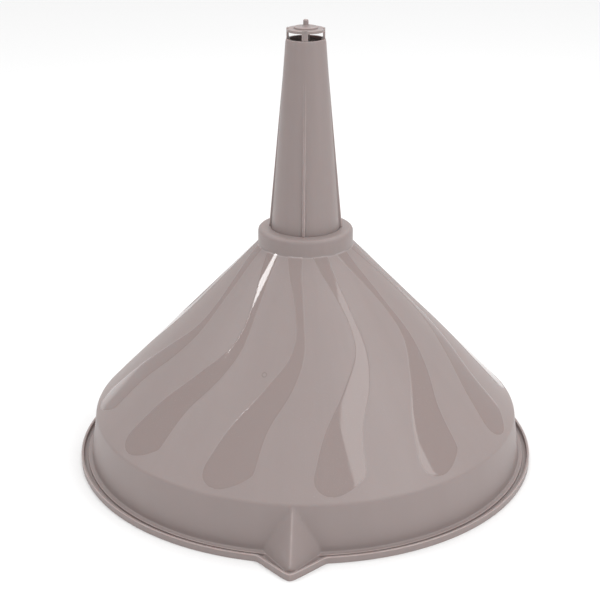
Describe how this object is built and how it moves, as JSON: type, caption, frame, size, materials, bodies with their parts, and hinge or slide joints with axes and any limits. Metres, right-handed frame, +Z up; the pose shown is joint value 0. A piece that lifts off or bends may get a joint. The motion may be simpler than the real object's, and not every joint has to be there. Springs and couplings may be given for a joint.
{
  "type": "funnel",
  "caption": "Wide plastic funnel with a pouring lip on the rim, a pull-out tapered spout with vent ribs, a lift-out strainer and an outlet cage.",
  "frame": {"origin": "on the funnel's axis, in the plane of the bowl's rim, which is what it stands on", "axes": "+Z up the spout, towards the outlet; -Y towards the pouring lip; X across"},
  "size_m": [0.24, 0.2544, 0.2285],
  "materials": {
    "bowl_plastic": "satin taupe polypropylene with glossy flame-shaped panels",
    "spout_plastic": "satin taupe polypropylene",
    "cage_plastic": "satin taupe polypropylene",
    "strainer_plastic": "satin taupe polypropylene",
    "gauze": "woven brass wire",
    "seal": "matt black nitrile rubber"
  },
  "bodies": {
    "bowl": {"bowl": "bowl_plastic"},
    "spout": {"spout": "spout_plastic", "spout_seal": "seal"},
    "strainer": {"strainer_frame": "strainer_plastic", "strainer_gauze": "gauze", "strainer_clamp_ring": "strainer_plastic"},
    "outlet_cage": {"outlet_cage": "cage_plastic"}
  },
  "joints": [
    {"name": "spout_pull", "type": "slide", "parent": "bowl", "child": "spout", "axis": [0, 0, -1], "range_m": [0, 0.235]},
    {"name": "strainer_lift", "type": "slide", "parent": "spout", "child": "strainer", "axis": [0, 0, -1], "range_m": [0, 0.12]},
    {"name": "cage_pull", "type": "slide", "parent": "spout", "child": "outlet_cage", "axis": [0, 0, 1], "range_m": [0, 0.02]}
  ]
}
